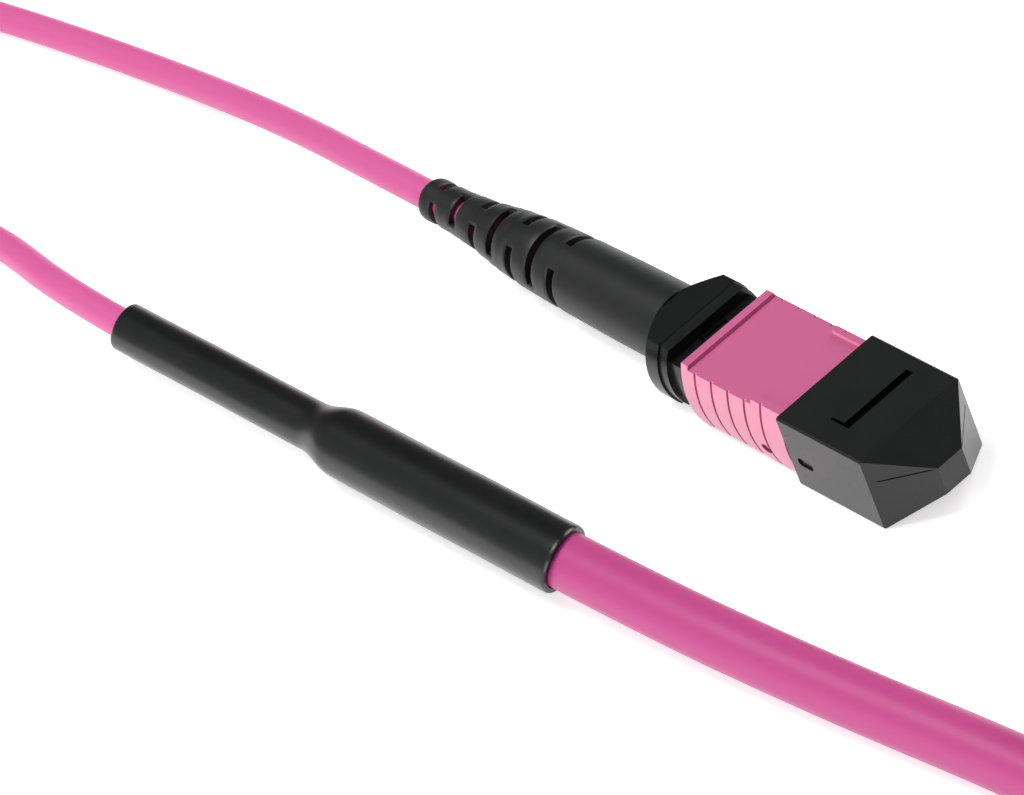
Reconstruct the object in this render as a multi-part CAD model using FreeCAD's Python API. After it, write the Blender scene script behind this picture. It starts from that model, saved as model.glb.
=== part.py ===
import FreeCAD, Part

import math
import os

# Multi-fibre push-on connector with its dust cap, on the 3 mm leg of a fan-out cable.  The leg runs
# back in a loop to a heat-shrunk transition sleeve, where it joins the thicker trunk cable, and the
# rest of the trunk lies beside it as a tied coil with a sealed end.
#
# Millimetres.  The connector is modelled about its own axis with x = 0 on the plane where the dust
# cap meets the coupling sleeve, +X out of the mating face.  placed() then moves it to the part's
# frame: origin under the middle of the connector, +Z up, on the surface it lies on.

V = FreeCAD.Vector
X_AXIS = V(1, 0, 0)
Y_AXIS = V(0, 1, 0)
Z_AXIS = V(0, 0, 1)
ORIGIN = V(0, 0, 0)

# ---- running and seating clearances
slide_gap = 0.1            # between pieces that slide in one another
seat_gap = 0.05            # round a piece that is pushed home
pin_hole_gap = 0.01        # round a guide pin in the ferrule
cap_gap = 0.1              # between the cap's mouth and the coupling sleeve
over = 1.0                 # how far a cutter runs past the face it opens

# ---- dust cap
cap_width = 12.4
cap_height = 8.25
cap_straight = 11.2        # length of the square part
cap_nose = 4.37            # length of the faceted nose
cap_tip_width = 3.0
cap_tip_height = 3.1
cap_edge = 0.2
cap_slot_x = 6.2           # rear edge of the transverse grip slot on top
cap_slot_length = 8.15
cap_slot_shift = 0.43      # the slot sits a little towards the far side
cap_slot_width = 0.9
cap_slot_depth = 0.4
cap_slot_leg = 1.5         # thin leg that runs back from the slot's near end
cap_slot_leg_width = 0.3
cap_dimple_x = 2.1
cap_dimple_z = -0.6
cap_dimple_length = 2.0
cap_dimple_height = 0.95
cap_dimple_depth = 0.22
cap_crease_depth = 0.12    # crease in each side facet of the nose, up to the tip's corner
cap_crease_width = 0.16
cap_crease_drop = 0.36     # where it starts: share of the way down the facet's rear edge
cap_crease_inset = 0.14    # and share of the way from that edge to the tip
cap_end_gap = 0.4          # between the housing's face and the bottom of the cap's pocket

# ---- coupling sleeve
sleeve_width = 12.5        # across the bulged sides
sleeve_height = 7.54
sleeve_side_r = 9.6        # radius of the bulged sides
sleeve_length = 13.8
sleeve_wall = 0.75
rim_length = 0.9           # raised rim at the rear of the top and bottom panels
panel_depth = 0.42
panel_front_width = 9.6    # the panel narrows between two strips at the front
panel_strip_length = 4.2
grip_count = 5
grip_pitch = 2.26
grip_width = 0.3
grip_depth = 0.2
grip_first = 1.9           # middle of the first grip groove, from the sleeve's rear edge
side_hole_x = -3.65
side_hole_z = 1.5
side_hole_r = 0.6
lug_length = 1.2           # lugs that the coupling springs push on
lug_height = 1.8

# ---- coupling springs
coupling_wire = 0.22
coupling_coil_d = 1.3
coupling_turns = 5
coupling_steps = 8        # flats per turn

# ---- inner housing
nose_side_gap = 0.7        # from the housing's side to the inside of the coupling sleeve
nose_height = 5.84
nose_length = 5.2          # stands out of the coupling sleeve
nose_chamfer = 0.35
key_width = 3.0
key_height = 0.6
key_setback = 0.4          # from the housing's front face to the key
latch_rear = -1.6          # recess in each side that the adapter's hooks drop into
latch_front = 0.9
latch_depth = 0.7
latch_height = 3.8
channel_depth = 0.85       # of the groove in each side that holds a coupling spring
channel_height = 2.0
channel_front = -4.2
channel_length = 9.0
collar_gap = 0.08          # rear section, inside the coupling sleeve's bulged sides
collar_height = 4.48
collar_length = 4.5
ridge_length = 1.1
ridge_step = 0.2           # the ridge stands this much inside the flange's rim
ridge_height = 7.2
ridge_front_height = 6.75
window_width = 3.2         # top and bottom windows for the rear housing's catches
window_length = 1.6
window_setback = 1.5       # from the housing's rear face to the window

# ---- ferrule and pins
ferrule_width = 6.4
ferrule_height = 2.5
ferrule_length = 8.0
ferrule_edge = 0.15
ferrule_proud = 0.4        # stands out of the housing's face
shoulder_width = 7.0
shoulder_height = 3.0
shoulder_length = 2.0
ferrule_window_length = 3.0
ferrule_window_width = 2.6
ferrule_window_depth = 0.75
ferrule_float = 0.8        # how far the ferrule gives when it mates
pin_r = 0.35
pin_pitch = 4.6
pin_proud = 2.2            # stands out of the ferrule's face
pin_tip = 0.6              # length of the tapered tip
pin_tip_r = 0.12
clamp_length = 2.0
clamp_edge = 0.3
ribbon_width = 3.05
ribbon_height = 0.32
rubber_wall = 0.4          # of the small rubber boot behind the ferrule
rubber_length = 4.2

# ---- main spring
spring_wire = 0.42
spring_width = 6.2
spring_height = 3.1
spring_turns = 6
spring_steps = 4           # flats per half turn
spring_length = 9.0

# ---- rear housing
flange_r = 6.1
flange_flat = 3.65         # the flange is flattened top and bottom at this height
flange_rim = 1.67          # length of its rim
flange_slope = 2.1         # length of the slope from the boot up to the rim
flange_root_r = 3.9
spigot_wall = 0.7
neck_r = 3.0
neck_length = 1.2
barrel_r = 2.3
barrel_bore_r = 1.75
barrel_length = 7.8
catch_height = 0.35

# ---- crimp ring, yarn, cable
yarn_thickness = 0.26
crimp_wall = 0.3
crimp_length = 8.15
crimp_tail = 4.6
crimp_tail_wall = 0.5
cable_r = 1.5
jacket_gap = 0.4           # from the barrel's end to the cable's jacket
jacket_length = 19.1

# ---- strain relief boot
boot_length = 36.52
boot_tip_r = 2.15
boot_tip_length = 3.6
boot_root_r = 3.85
boot_root_length = 6.5
boot_knee = 0.42           # where the taper eases, as a share of the way from tip to root
boot_knee_swell = 0.72     # how much of the swelling is done there
boot_bore_gap = 0.15       # round the cable
boot_wall_gap = 0.12       # round the crimp ring
boot_slot_width = 0.72
boot_slot_first = 2.1      # first slot, from the tip
boot_slot_pitch = 3.25
boot_slots = 7
boot_even_middle = -111.0  # middle of a slot, from the top towards the far side
boot_even_span = 134.0
boot_odd_middle = -31.0
boot_odd_span = 78.0       # of the first of these rings; each ring's slots are longer
boot_odd_growth = 9.0

# ---- transition sleeve, on the surface beside the connector
trunk_r = 2.75
sleeve_left = V(-52.74, -28.02, 3.53)
sleeve_angle = 1.4         # the sleeve's axis, turned from +X
transition_length = 65.5
transition_thin_r = 2.5
transition_thick_r = 3.53
transition_thin = 29.0     # length of the thin end
transition_flare = 6.5
transition_gap = 0.06      # between the shrunk sleeve and what it grips
former_start = 8.0         # stiff former inside it, that the cable ends butt against
former_length = 46.0
trunk_straight = 10.5      # the trunk leaves the sleeve in line with it

# ---- trunk coil
turns_wide = 2
turns_high = 3
coil_mid_r = 28.0
coil_flats = 40
coil_centre_x = 96.05
coil_centre_y = 7.82
tie_thickness = 0.9
tie_width = 6.0
tie_gap = 0.3
tie_angles = (60.0, 190.0)
end_cap_wall = 0.8
end_cap_length = 22.0
end_cap_tip = 1.3
end_cap_grip = 8.0         # how far the cap reaches over the cable
end_cap_lift = 0.25        # the end stands a little off the coil

# ---- worked out along the axis
cap_rear_x = 0.0
cap_shoulder_x = cap_rear_x + cap_straight
cap_front_x = cap_shoulder_x + cap_nose
sleeve_front_x = cap_rear_x - cap_gap
sleeve_rear_x = sleeve_front_x - sleeve_length
nose_front_x = nose_length
ferrule_front_x = nose_front_x + ferrule_proud
ferrule_rear_x = ferrule_front_x - ferrule_length
shoulder_front_x = ferrule_rear_x + shoulder_length
clamp_rear_x = ferrule_rear_x - clamp_length
spring_seat_x = clamp_rear_x - spring_length
channel_rear_x = channel_front - channel_length
housing_rear_x = channel_rear_x - collar_length
flange_rear_x = housing_rear_x - flange_rim - flange_slope
neck_rear_x = flange_rear_x - neck_length
barrel_rear_x = neck_rear_x - barrel_length
crimp_front_x = neck_rear_x - seat_gap
crimp_step_x = crimp_front_x - crimp_length
jacket_front_x = barrel_rear_x - jacket_gap
jacket_rear_x = jacket_front_x - jacket_length
boot_tip_x = flange_rear_x - boot_length
pin_front_x = ferrule_front_x + pin_proud

nose_width = sleeve_width - 2 * (sleeve_wall + nose_side_gap)
channel_floor = nose_width / 2 - channel_depth
collar_width = sleeve_width - 2 * (sleeve_wall + collar_gap)
spring_room_width = spring_width + 2 * slide_gap + 0.2
spring_room_height = spring_height + 2 * slide_gap + 0.2
yarn_r = barrel_r + pin_hole_gap + yarn_thickness
crimp_bore_r = yarn_r + pin_hole_gap
crimp_r = crimp_bore_r + crimp_wall

# ---- the part's frame
middle_x = (cap_front_x + boot_tip_x) / 2
axis_height = cap_height / 2


def placed(shape):
    """The shape, moved from the connector's own axis to the part's frame."""
    shape = shape.copy()
    shape.translate(V(-middle_x, 0, axis_height))
    return shape


# ---- building blocks


def box(x0, x1, y0, y1, z0, z1):
    return Part.makeBox(x1 - x0, y1 - y0, z1 - z0, V(x0, y0, z0))


def bar(x0, x1, width, height):
    """A rectangular bar along the axis, centred on it."""
    return box(x0, x1, -width / 2, width / 2, -height / 2, height / 2)


def rod(x0, x1, radius, y=0.0, z=0.0):
    return Part.makeCylinder(radius, x1 - x0, V(x0, y, z), X_AXIS)


def turned(profile):
    """A solid turned about the X axis from (x, radius) corners given from one end to the other."""
    first, last = profile[0], profile[-1]
    corners = [V(first[0], 0, 0)] + [V(x, 0, r) for x, r in profile] + [V(last[0], 0, 0)]
    corners = [p for i, p in enumerate(corners) if i == 0 or (p - corners[i - 1]).Length > 1e-6]
    face = Part.Face(Part.makePolygon(corners + [corners[0]]))
    return face.revolve(ORIGIN, X_AXIS, 360)


def bulged_wire(x, width, height, side_radius):
    """A rectangle across the axis whose two short sides bow outwards; width is across the bows."""
    half = height / 2
    edge = width / 2 - side_radius + math.sqrt(side_radius ** 2 - half ** 2)
    near = Part.Arc(V(x, -edge, half), V(x, -width / 2, 0), V(x, -edge, -half))
    far = Part.Arc(V(x, edge, -half), V(x, width / 2, 0), V(x, edge, half))
    top = Part.LineSegment(V(x, edge, half), V(x, -edge, half))
    bottom = Part.LineSegment(V(x, -edge, -half), V(x, edge, -half))
    return Part.Wire([top.toShape(), near.toShape(), bottom.toShape(), far.toShape()])


def bulged_bar(x0, x1, width, height, side_radius):
    return Part.Face(bulged_wire(x0, width, height, side_radius)).extrude(V(x1 - x0, 0, 0))


def turned_over(shape):
    """A copy turned half round about the connector's axis."""
    shape = shape.copy()
    shape.rotate(ORIGIN, X_AXIS, 180)
    return shape


def across(shape):
    """A copy mirrored to the other side of the connector."""
    return shape.mirror(ORIGIN, Y_AXIS)


def long_edges(shape, direction):
    """The straight edges that run along a direction."""
    found = []
    for edge in shape.Edges:
        ends = [v.Point for v in edge.Vertexes]
        if edge.Curve.TypeId == "Part::GeomLine" and len(ends) == 2:
            if abs((ends[1] - ends[0]).normalize().dot(direction)) > 0.999:
                found.append(edge)
    return found


def rectangle(x, width, height):
    y, z = width / 2, height / 2
    corners = [V(x, -y, -z), V(x, y, -z), V(x, y, z), V(x, -y, z), V(x, -y, -z)]
    return Part.makePolygon(corners)


def tapered(x0, width0, height0, x1, width1, height1):
    """A flat-sided nose: from one rectangle across the axis to a smaller one."""
    rear = rectangle(x0, width0, height0)
    front = rectangle(x1, width1, height1)
    a = [v.Point for v in rear.OrderedVertexes][:4]
    b = [v.Point for v in front.OrderedVertexes][:4]
    outlines = [a, b]
    for i in range(4):
        j = (i + 1) % 4
        outlines.append([a[i], a[j], b[j], b[i]])
    faces = [Part.Face(Part.makePolygon(outline + [outline[0]])) for outline in outlines]
    return Part.Solid(Part.Shell(faces))


def many_sided(centre, radius, out, up, sides):
    """A regular polygon across a cord or a spring's wire, as a closed outline."""
    corners = []
    for i in range(sides + 1):
        turn = 2 * math.pi * (i % sides + 0.5) / sides
        corners.append(centre + out * (radius * math.cos(turn)) + up * (radius * math.sin(turn)))
    return Part.makePolygon(corners)


def threaded(sections):
    """A solid through the outlines, flat from each one to the next."""
    return Part.makeLoft(sections, True, True)


def wound(stations, wire):
    """A spring through (point, outward) stations, wound about the Z axis from six-sided wire."""
    return threaded([many_sided(point, wire / 2, outward, Z_AXIS, 6) for point, outward in stations])


# ---- dust cap


def cap_crease():
    """A thin straight groove in the near side facet of the nose, up to the tip's top corner."""
    corner = V(cap_shoulder_x, -cap_width / 2, cap_height / 2)
    foot = V(cap_shoulder_x, -cap_width / 2, -cap_height / 2)
    tip = V(cap_front_x, -cap_tip_width / 2, cap_tip_height / 2)
    low_tip = V(cap_front_x, -cap_tip_width / 2, -cap_tip_height / 2)
    edge = corner + (foot - corner) * cap_crease_drop
    start = edge + (low_tip - foot) * cap_crease_inset
    out = V(cap_nose, cap_tip_width / 2 - cap_width / 2, 0).cross(V(0, 0, 1)).normalize()
    along = tip - start
    half = out.cross(along).normalize() * (cap_crease_width / 2)
    corners = [start + half, start - half, tip - half, tip + half, start + half]
    floor = Part.Face(Part.makePolygon([c - out * cap_crease_depth for c in corners]))
    return floor.extrude(out * (cap_crease_depth + over))


def cap_pocket():
    """What the cap has to clear: the housing's nose, its key, and the ferrule with its pins."""
    nose = bar(cap_rear_x - over, nose_front_x + cap_end_gap, nose_width + 2 * slide_gap,
               nose_height + 2 * slide_gap)
    key_top = nose_height / 2 + key_height + slide_gap
    key = box(cap_rear_x - over, nose_front_x - key_setback + slide_gap, -key_width / 2 - slide_gap,
              key_width / 2 + slide_gap, 0, key_top)
    pins = bar(nose_front_x, pin_front_x + cap_end_gap, shoulder_width, ferrule_height + 2 * slide_gap)
    return nose.fuse(key).fuse(pins)


def cap_grip_slot():
    top = cap_height / 2
    near_y = cap_slot_shift - cap_slot_length / 2
    slot = box(cap_slot_x, cap_slot_x + cap_slot_width, near_y, near_y + cap_slot_length,
               top - cap_slot_depth, top + over)
    leg = box(cap_slot_x - cap_slot_leg, cap_slot_x, near_y, near_y + cap_slot_leg_width,
              top - cap_slot_depth, top + over)
    return slot.fuse(leg)


def cap_dimple():
    dimple = box(cap_dimple_x - cap_dimple_length / 2, cap_dimple_x + cap_dimple_length / 2,
                 -cap_width / 2 - over, -cap_width / 2 + cap_dimple_depth,
                 cap_dimple_z - cap_dimple_height / 2, cap_dimple_z + cap_dimple_height / 2)
    return dimple.makeFillet(cap_dimple_height * 0.42, long_edges(dimple, Y_AXIS))


def dust_cap():
    """Square cap with a faceted nose, open at the rear."""
    shell = bar(cap_rear_x, cap_shoulder_x, cap_width, cap_height)
    nose = tapered(cap_shoulder_x, cap_width, cap_height, cap_front_x, cap_tip_width, cap_tip_height)
    shell = shell.fuse(nose).removeSplitter()
    crease = cap_crease()
    shell = shell.cut(crease).cut(across(crease))
    shell = shell.makeChamfer(cap_edge, long_edges(shell, X_AXIS))
    return shell.cut(cap_pocket()).cut(cap_grip_slot()).cut(cap_dimple()).cut(across(cap_dimple()))


# ---- coupling sleeve and its springs


def grip_cutters():
    """Upright grooves pressed a little way into each bulged side."""
    skin = bulged_bar(sleeve_rear_x, sleeve_front_x, sleeve_width - 2 * grip_depth,
                      sleeve_height + 2 * over, sleeve_side_r - grip_depth)
    cutters = []
    for i in range(grip_count):
        x = sleeve_rear_x + grip_first - grip_width / 2 + i * grip_pitch
        slab = bar(x, x + grip_width, sleeve_width + 2 * over, sleeve_height + 2 * over)
        cutters.append(slab.cut(skin))
    return cutters


def sleeve_panel():
    """The sunk panel on top: over the full width, and between two strips at the front."""
    top = sleeve_height / 2
    wide_front = sleeve_front_x - panel_strip_length
    wide = box(sleeve_rear_x + rim_length, wide_front, -sleeve_width / 2, sleeve_width / 2,
               top - panel_depth, top + over)
    narrow = box(wide_front, sleeve_front_x + over, -panel_front_width / 2, panel_front_width / 2,
                 top - panel_depth, top + over)
    return wide.fuse(narrow)


def sleeve_lug():
    """Block inside the near wall that reaches into the housing's channel and takes the spring."""
    front = channel_front - slide_gap
    return box(front - lug_length, front, -sleeve_width / 2 + sleeve_wall / 2,
               -channel_floor - slide_gap, -lug_height / 2, lug_height / 2)


def coupling_sleeve():
    shell = bulged_bar(sleeve_rear_x, sleeve_front_x, sleeve_width, sleeve_height, sleeve_side_r)
    for cutter in grip_cutters():
        shell = shell.cut(cutter)
    room = bulged_bar(sleeve_rear_x - over, sleeve_front_x + over, sleeve_width - 2 * sleeve_wall,
                      sleeve_height - 2 * sleeve_wall, sleeve_side_r - sleeve_wall)
    shell = shell.cut(sleeve_panel()).cut(turned_over(sleeve_panel())).cut(room)
    hole = Part.makeCylinder(side_hole_r, sleeve_width / 2, V(side_hole_x, 0, -side_hole_z),
                             V(0, -1, 0))
    shell = shell.cut(hole).cut(turned_over(hole))
    return shell.fuse(sleeve_lug()).fuse(across(sleeve_lug()))


def coupling_spring(side):
    """Small coil spring in one of the housing's channels, from its rear wall to the sleeve's lug."""
    length = channel_front - slide_gap - lug_length - channel_rear_x
    rise = length - coupling_wire - 2 * seat_gap
    mean_r = (coupling_coil_d - coupling_wire) / 2
    steps = coupling_turns * coupling_steps
    stations = []
    for i in range(steps + 1):
        turn = 2 * math.pi * i / coupling_steps
        outward = V(math.cos(turn), math.sin(turn), 0)
        stations.append((outward * mean_r + Z_AXIS * (rise * i / steps), outward))
    spring = wound(stations, coupling_wire)
    spring.rotate(ORIGIN, Y_AXIS, 90)
    y = side * (channel_floor + slide_gap + coupling_coil_d / 2)
    spring.translate(V(channel_rear_x + coupling_wire / 2 + seat_gap, y, 0))
    return spring


# ---- inner housing


def housing_collar():
    """Rear section with bowed sides; a ridge at its end stands against the flange."""
    side_r = sleeve_side_r - (sleeve_width - collar_width) / 2
    collar = bulged_bar(housing_rear_x, channel_rear_x, collar_width, collar_height, side_r)
    ridge_x = housing_rear_x + ridge_length
    ridge_r = flange_r - ridge_step
    slab = tapered(housing_rear_x, 2 * flange_r, ridge_height, ridge_x, 2 * flange_r,
                   ridge_front_height)
    return collar.fuse(rod(housing_rear_x, ridge_x, ridge_r).common(slab))


def housing_cavity():
    """Through room for the ferrule, its shoulder, the main spring and the rear housing's spigot."""
    face = bar(shoulder_front_x, nose_front_x + over, ferrule_width + 2 * slide_gap,
               ferrule_height + 2 * slide_gap)
    shoulder = bar(clamp_rear_x - ferrule_float - slide_gap, shoulder_front_x,
                   shoulder_width + 2 * slide_gap, shoulder_height + 2 * slide_gap)
    spring = bar(housing_rear_x - over, shoulder_front_x, spring_room_width, spring_room_height)
    return face.fuse(shoulder).fuse(spring)


def housing_side_cutters():
    """Near side: the recess for the adapter's hook and the channel for a coupling spring."""
    side = -nose_width / 2
    hook = box(latch_rear, latch_front, side - over, side + latch_depth, -latch_height / 2,
               latch_height / 2)
    channel = box(channel_rear_x, channel_front, side - over, -channel_floor, -channel_height / 2,
                  channel_height / 2)
    return hook.fuse(channel)


def housing_window():
    """Top window that the rear housing's catch snaps into."""
    rear = housing_rear_x + window_setback
    return box(rear, rear + window_length, -window_width / 2, window_width / 2, 0,
               collar_height / 2 + over)


def inner_housing():
    body = bar(channel_rear_x, nose_front_x, nose_width, nose_height)
    front = [e for e in body.Edges if all(abs(v.X - nose_front_x) < 1e-6 for v in e.Vertexes)]
    body = body.makeChamfer(nose_chamfer, front)
    key = box(cap_rear_x + slide_gap, nose_front_x - key_setback, -key_width / 2, key_width / 2,
              nose_height / 2 - over, nose_height / 2 + key_height)
    housing = body.fuse(key).fuse(housing_collar())
    cutters = [housing_cavity(), housing_side_cutters(), across(housing_side_cutters()),
               housing_window(), turned_over(housing_window())]
    for cutter in cutters:
        housing = housing.cut(cutter)
    return housing


# ---- ferrule group


def ferrule():
    """Moulded ferrule with a rear shoulder, two pin holes, a filling window and the fibres' face."""
    block = bar(ferrule_rear_x, ferrule_front_x, ferrule_width, ferrule_height)
    block = block.makeChamfer(ferrule_edge, long_edges(block, X_AXIS))
    block = block.fuse(bar(ferrule_rear_x, shoulder_front_x, shoulder_width, shoulder_height))
    for side in (-1, 1):
        hole = rod(ferrule_rear_x - over, ferrule_front_x + over, pin_r + pin_hole_gap,
                   side * pin_pitch / 2)
        block = block.cut(hole)
    window = box(shoulder_front_x + 0.6, shoulder_front_x + 0.6 + ferrule_window_length,
                 -ferrule_window_width / 2, ferrule_window_width / 2,
                 ferrule_height / 2 - ferrule_window_depth, ferrule_height / 2 + over)
    slot = bar(ferrule_rear_x - over, ferrule_front_x - 2.6, ribbon_width + 2 * pin_hole_gap,
               ribbon_height + 2 * pin_hole_gap)
    return block.cut(window).cut(slot)


def guide_pin(side):
    """Ground steel pin through the ferrule into the pin clamp, tapered at its tip."""
    pin = turned([
        (clamp_rear_x + seat_gap, pin_r),
        (pin_front_x - pin_tip, pin_r),
        (pin_front_x, pin_tip_r),
    ])
    pin.translate(V(0, side * pin_pitch / 2, 0))
    return pin


def pin_clamp():
    """Frame behind the ferrule that holds the tails of both pins."""
    clamp = bar(clamp_rear_x, ferrule_rear_x, shoulder_width, shoulder_height)
    clamp = clamp.makeChamfer(clamp_edge, long_edges(clamp, X_AXIS))
    for side in (-1, 1):
        clamp = clamp.cut(rod(clamp_rear_x + seat_gap, ferrule_rear_x + over, pin_r + pin_hole_gap,
                              side * pin_pitch / 2))
    window = bar(clamp_rear_x - over, ferrule_rear_x + over,
                 ribbon_width + 2 * rubber_wall + 2 * pin_hole_gap,
                 ribbon_height + 2 * rubber_wall + 2 * pin_hole_gap)
    return clamp.cut(window)


def ferrule_boot():
    """Rubber sleeve round the ribbon where it enters the ferrule."""
    rear = ferrule_rear_x - rubber_length
    sleeve = bar(rear, ferrule_rear_x, ribbon_width + 2 * rubber_wall,
                 ribbon_height + 2 * rubber_wall)
    slot = bar(rear - over, ferrule_rear_x + over, ribbon_width + 2 * pin_hole_gap,
               ribbon_height + 2 * pin_hole_gap)
    return sleeve.cut(slot)


def fibre_ribbon():
    front = ferrule_front_x - 2.6 - pin_hole_gap
    rear = barrel_rear_x + ferrule_float + seat_gap
    ribbon = bar(rear, front, ribbon_width, ribbon_height)
    return ribbon.makeChamfer(ribbon_height * 0.35, long_edges(ribbon, X_AXIS))


def main_spring():
    """Flattened coil spring: each turn is two straight runs joined by two half turns."""
    half_run = (spring_width - spring_height) / 2
    mean_r = (spring_height - spring_wire) / 2
    rise = spring_length - spring_wire - 2 * seat_gap
    corners = []
    for i in range(2 * (spring_steps + 1)):
        end = 1 if i <= spring_steps else -1
        step = i if end > 0 else i - spring_steps - 1
        turn = math.pi * (step / spring_steps - 0.5) + (0 if end > 0 else math.pi)
        outward = V(math.cos(turn), math.sin(turn), 0)
        corners.append((outward * mean_r + V(end * half_run, 0, 0), outward))
    steps = [(b[0] - a[0]).Length for a, b in zip(corners, corners[1:] + corners[:1])]
    along = 0.0
    stations = []
    for turn in range(spring_turns):
        for (point, outward), step in zip(corners, steps):
            height = rise * along / (spring_turns * sum(steps))
            stations.append((point + Z_AXIS * height, outward))
            along += step
    stations.append((corners[0][0] + Z_AXIS * rise, corners[0][1]))
    spring = wound(stations, spring_wire)
    spring.rotate(ORIGIN, Z_AXIS, 90)
    spring.rotate(ORIGIN, Y_AXIS, 90)
    spring.translate(V(spring_seat_x + spring_wire / 2 + seat_gap, 0, 0))
    return spring


# ---- rear housing and crimp


def spigot_catch():
    """Wedge on the spigot that snaps into the inner housing's window from behind."""
    rear = housing_rear_x + window_setback + slide_gap
    front = rear + window_length - 2 * slide_gap
    base = spring_room_height / 2 - seat_gap
    side = Part.makePolygon([V(rear, 0, base - 0.2), V(rear, 0, base + catch_height),
                             V(front, 0, base + 0.05), V(front, 0, base - 0.2),
                             V(rear, 0, base - 0.2)])
    wedge = Part.Face(side).extrude(V(0, window_width - 2 * slide_gap, 0))
    wedge.translate(V(0, -window_width / 2 + slide_gap, 0))
    return wedge


def flange():
    """Thumb flange: a rim that slopes down to the boot behind it, flattened top and bottom."""
    slope_x = flange_rear_x + flange_slope
    disc = turned([(flange_rear_x, flange_root_r), (slope_x, flange_r), (housing_rear_x, flange_r)])
    return disc.common(bar(flange_rear_x, housing_rear_x, 2 * flange_r + over, 2 * flange_flat))


def rear_housing():
    spigot = bar(housing_rear_x, spring_seat_x, spring_room_width - 2 * seat_gap,
                 spring_room_height - 2 * seat_gap)
    body = spigot.fuse(spigot_catch()).fuse(turned_over(spigot_catch())).fuse(flange())
    body = body.fuse(rod(neck_rear_x, flange_rear_x, neck_r))
    body = body.fuse(rod(barrel_rear_x, neck_rear_x, barrel_r))
    room = bar(flange_rear_x, spring_seat_x + over, spring_room_width - 2 * spigot_wall,
               spring_room_height - 2 * spigot_wall)
    bore = rod(barrel_rear_x - over, flange_rear_x + over, barrel_bore_r)
    return body.cut(room).cut(bore)


def aramid_yarn():
    """The cable's strength yarns, folded back over the barrel as an even layer."""
    rear = barrel_rear_x + seat_gap
    front = neck_rear_x - 2 * seat_gap
    return rod(rear, front, yarn_r).cut(rod(rear - over, front + over, barrel_r + pin_hole_gap))


def crimp_ring():
    """Six-sided where the die has closed it on the yarn, with a round tail on the jacket."""
    across_corners = crimp_r / math.cos(math.pi / 6)
    corners = [V(crimp_step_x, across_corners * math.cos(a), across_corners * math.sin(a))
               for a in (math.pi / 3 * k for k in range(7))]
    head = Part.Face(Part.makePolygon(corners)).extrude(V(crimp_length, 0, 0))
    head = head.cut(rod(crimp_step_x + crimp_wall, crimp_front_x + over, crimp_bore_r))
    tail = rod(crimp_step_x - crimp_tail, crimp_step_x + crimp_wall, cable_r + crimp_tail_wall)
    return head.fuse(tail).cut(rod(crimp_step_x - crimp_tail - over, crimp_front_x,
                                   cable_r + pin_hole_gap))


def cable_jacket_end():
    """The leg cable's jacket inside the boot."""
    return rod(jacket_rear_x, jacket_front_x, cable_r)


# ---- strain relief boot


def boot_body():
    """Outside of the boot: a straight tip, two tapers, a straight root."""
    swell_x = boot_tip_x + boot_tip_length
    root_x = flange_rear_x - boot_root_length
    reach = root_x - swell_x
    knee_r = boot_tip_r + boot_knee_swell * (boot_root_r - boot_tip_r)
    return turned([
        (boot_tip_x, boot_tip_r), (swell_x, boot_tip_r), (swell_x + boot_knee * reach, knee_r),
        (root_x, boot_root_r), (flange_rear_x, boot_root_r),
    ])


def boot_room():
    """Inside of the boot: over the crimp ring, then its tail, then close round the cable."""
    crimp_room = crimp_r / math.cos(math.pi / 6) + boot_wall_gap
    tail_room = cable_r + crimp_tail_wall + boot_wall_gap
    tail_x = crimp_step_x - crimp_tail - 0.5
    bore = cable_r + boot_bore_gap
    return turned([
        (boot_tip_x - over, bore), (tail_x, bore), (tail_x, tail_room),
        (crimp_step_x - 0.5, tail_room), (crimp_step_x - 0.5, crimp_room),
        (flange_rear_x + over, crimp_room),
    ])


def boot_slot(x, middle, span):
    """Part of a ring, cut through the wall; angles run from the top towards the far side."""
    inner = cable_r + boot_bore_gap / 2
    outer = boot_root_r + over
    x0, x1 = x - boot_slot_width / 2, x + boot_slot_width / 2
    corners = [V(x0, 0, inner), V(x1, 0, inner), V(x1, 0, outer), V(x0, 0, outer), V(x0, 0, inner)]
    ring = Part.Face(Part.makePolygon(corners)).revolve(ORIGIN, X_AXIS, span)
    ring.rotate(ORIGIN, X_AXIS, -middle - span / 2)
    return ring


def strain_relief_boot():
    """Soft boot: pairs of slots, every other ring turned, let it bend with the cable."""
    boot = boot_body().cut(boot_room())
    for i in range(boot_slots):
        x = boot_tip_x + boot_slot_first + i * boot_slot_pitch
        middle, span = boot_even_middle, boot_even_span
        if i % 2:
            middle, span = boot_odd_middle, boot_odd_span + boot_odd_growth * i
        for half in (0, 180):
            boot = boot.cut(boot_slot(x, middle + half, span))
    return boot


# ---- cords

cord_sides = 12
cord_step = math.radians(13)    # largest turn between two sections on an arc


def on_sleeve(distance):
    """A point on the transition sleeve's axis, so far from its thin end."""
    turn = math.radians(sleeve_angle)
    return sleeve_left + V(distance * math.cos(turn), distance * math.sin(turn), 0)


leg_route = [
    V(jacket_rear_x - middle_x, 0, axis_height),
    V(-45.5, 0, axis_height),
    V(-61, 0.8, 2.75),
    V(-77, 0.45, cable_r),
    V(-92, -1.2, cable_r),
    V(-106.5, -3.2, cable_r),
    V(-119.2, -5.7, cable_r),
    V(-127, -16.1, cable_r),
    V(-125.7, -29, cable_r),
    V(-116.1, -37.7, cable_r),
    V(-101.5, -37.7, cable_r),
    V(-88.9, -27, cable_r),
    V(-78, -25.5, cable_r),
    on_sleeve(-former_start),
    on_sleeve(former_start),
]
trunk_route = [
    on_sleeve(former_start + former_length),
    on_sleeve(transition_length + trunk_straight),
    V(45.3, -24.1, 2.9),
    V(66.3, -21.7, trunk_r),
    V(79.3, -21.1, 3.1),
    V(92.3, -22.7, trunk_r + tie_thickness),
]


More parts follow.
